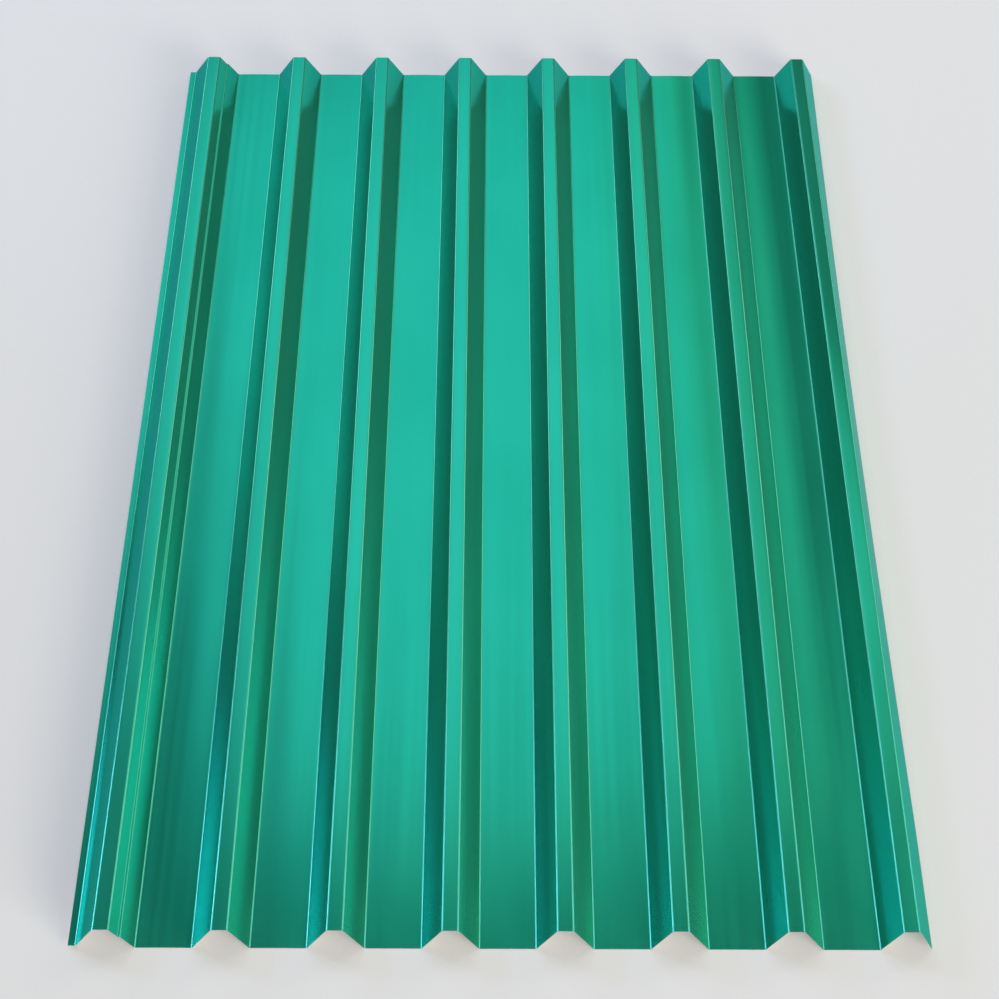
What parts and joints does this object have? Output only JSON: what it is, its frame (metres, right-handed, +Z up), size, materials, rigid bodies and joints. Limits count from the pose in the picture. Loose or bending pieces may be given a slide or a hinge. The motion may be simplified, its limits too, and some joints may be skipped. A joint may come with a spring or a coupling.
{
  "type": "corrugated metal sheet",
  "caption": "Trapezoidal corrugated steel roofing sheet, prepainted green, with an overlap rib and lip on one side and an underlap rib on the other, for lapped roofs and walls.",
  "frame": {"origin": "middle of the sheet's length and width, on the plane of the pans' undersides, which rest on the purlins", "axes": "+Y along the ribs, +X across the ribs from the overlap lip to the underlap leg, +Z up, to the weather side"},
  "size_m": [0.775, 1.35, 0.0265],
  "materials": {
    "green_coating": "semi-gloss coil coating on zinc-coated steel"
  },
  "bodies": {
    "root": {"corrugated_sheet": "green_coating"}
  },
  "joints": []
}
